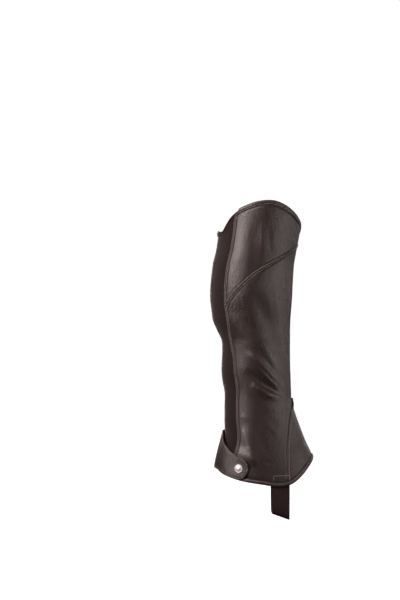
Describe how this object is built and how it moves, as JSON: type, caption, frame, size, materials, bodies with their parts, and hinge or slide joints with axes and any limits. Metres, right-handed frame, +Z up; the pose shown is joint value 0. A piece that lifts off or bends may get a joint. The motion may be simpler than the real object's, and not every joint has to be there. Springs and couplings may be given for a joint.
{
  "type": "half chap",
  "caption": "Leather half chap for the lower leg, with an elastic panel, a back zip under a snap flap and an elastic strap under the boot.",
  "frame": {"origin": "middle of the calf's widest section, where the wearer's calf holds the half chap up", "axes": "+Z up the leg, +X to the toe, -Y out from the outer side of the right leg"},
  "size_m": [0.1583, 0.117, 0.4859],
  "materials": {
    "leather": "smooth dark brown leather with a fine grain and a soft sheen",
    "binding_leather": "folded dark brown leather edging",
    "elastic": "matte dark brown ribbed elastic",
    "strap_elastic": "matte near-black brown woven elastic",
    "zip_plastic": "dark brown moulded zip teeth",
    "dark_metal": "dark bronzed metal",
    "silver_metal": "polished nickel snap cap"
  },
  "bodies": {
    "root": {"spanish_top": "leather", "outer_panel": "leather", "front_gusset": "leather", "inner_panel": "leather", "elastic_panel": "elastic", "elastic_edge_strip": "binding_leather", "inner_seam_strip": "binding_leather", "spanish_strip": "binding_leather", "top_binding": "binding_leather", "elastic_top_binding": "elastic", "hem_binding": "binding_leather", "zip_tape_outer": "strap_elastic", "zip_tape_inner": "strap_elastic", "zip_chain": "zip_plastic", "zip_box": "dark_metal", "zip_slider": "dark_metal", "ankle_flap": "leather", "snap_cap": "silver_metal", "snap_stud": "dark_metal", "stirrup_strap": "strap_elastic", "side_label": "elastic"}
  },
  "joints": []
}
